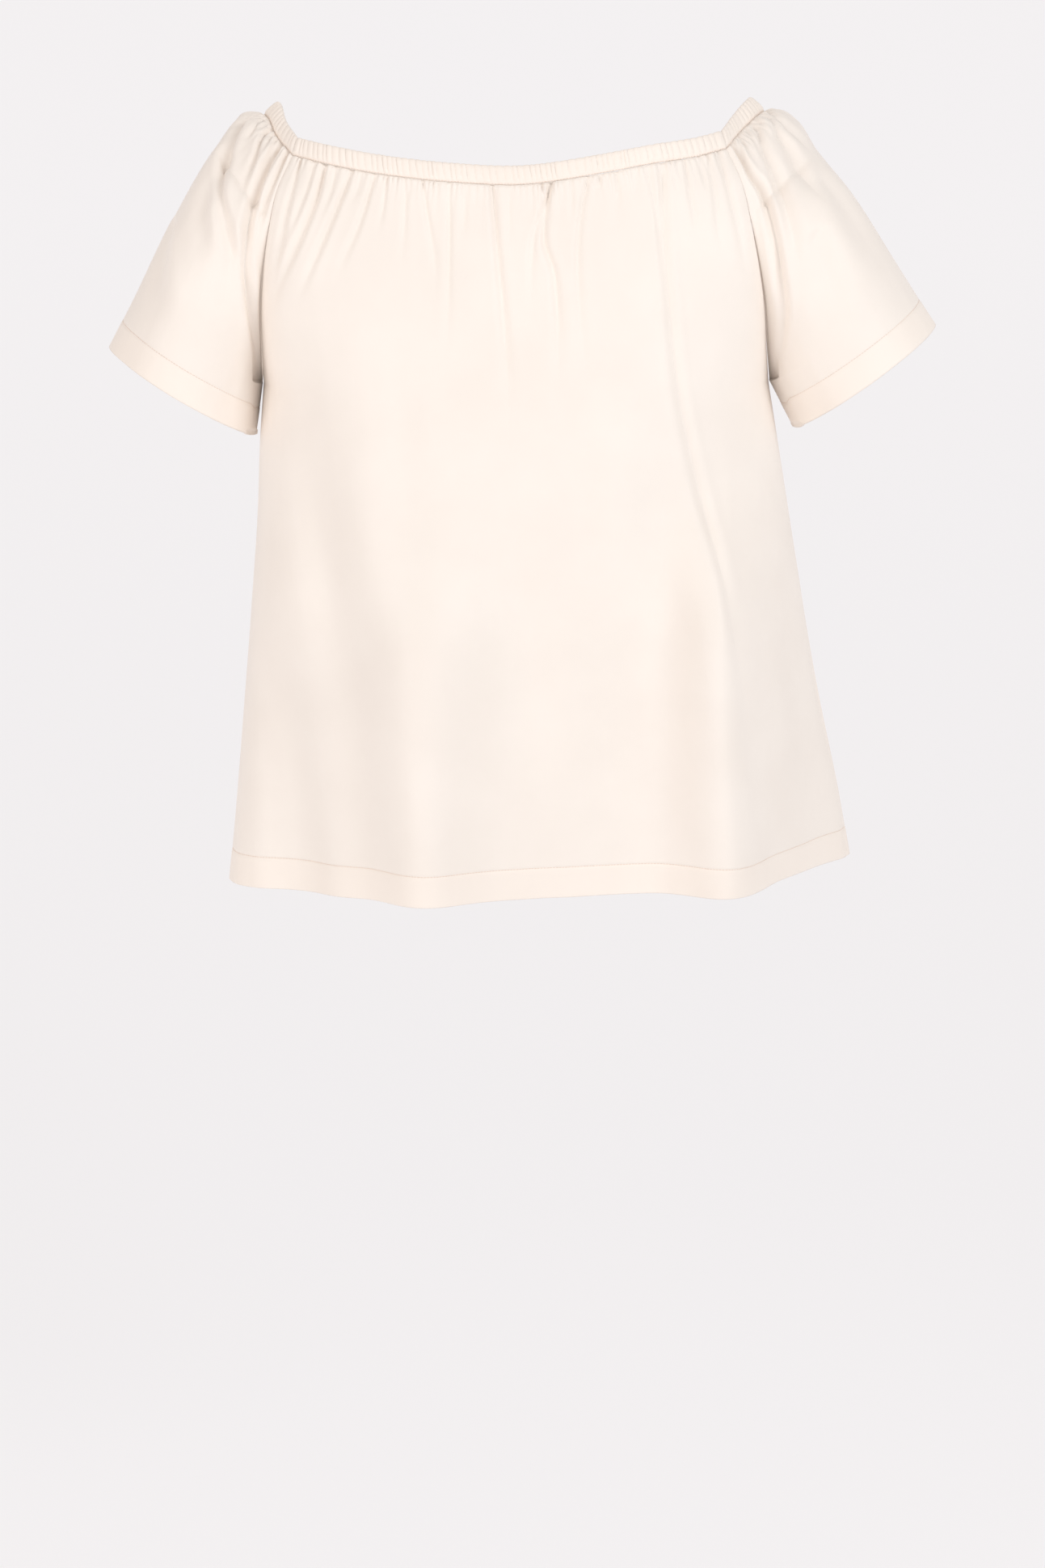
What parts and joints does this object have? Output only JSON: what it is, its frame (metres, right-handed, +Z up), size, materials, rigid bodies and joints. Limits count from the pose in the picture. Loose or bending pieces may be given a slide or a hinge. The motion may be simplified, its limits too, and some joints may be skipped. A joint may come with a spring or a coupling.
{
  "type": "blouse",
  "caption": "Off-the-shoulder blouse with short flared raglan sleeves and a gathered elastic neckline, filled out as worn.",
  "frame": {"origin": "middle of the neck opening, level with the top edge of the casing at the centre front", "axes": "+X to the viewer's right as the front is seen, +Y from the front to the back, +Z up towards the neck opening"},
  "size_m": [0.6619, 0.321, 0.6277],
  "materials": {
    "blush_cloth": "smooth woven, slightly lustrous",
    "blush_thread": "matt sewing thread"
  },
  "bodies": {
    "root": {"front_panel": "blush_cloth", "back_panel": "blush_cloth", "sleeve_left": "blush_cloth", "sleeve_right": "blush_cloth", "casing_front": "blush_cloth", "casing_back": "blush_cloth", "casing_left": "blush_cloth", "casing_right": "blush_cloth"}
  },
  "joints": []
}
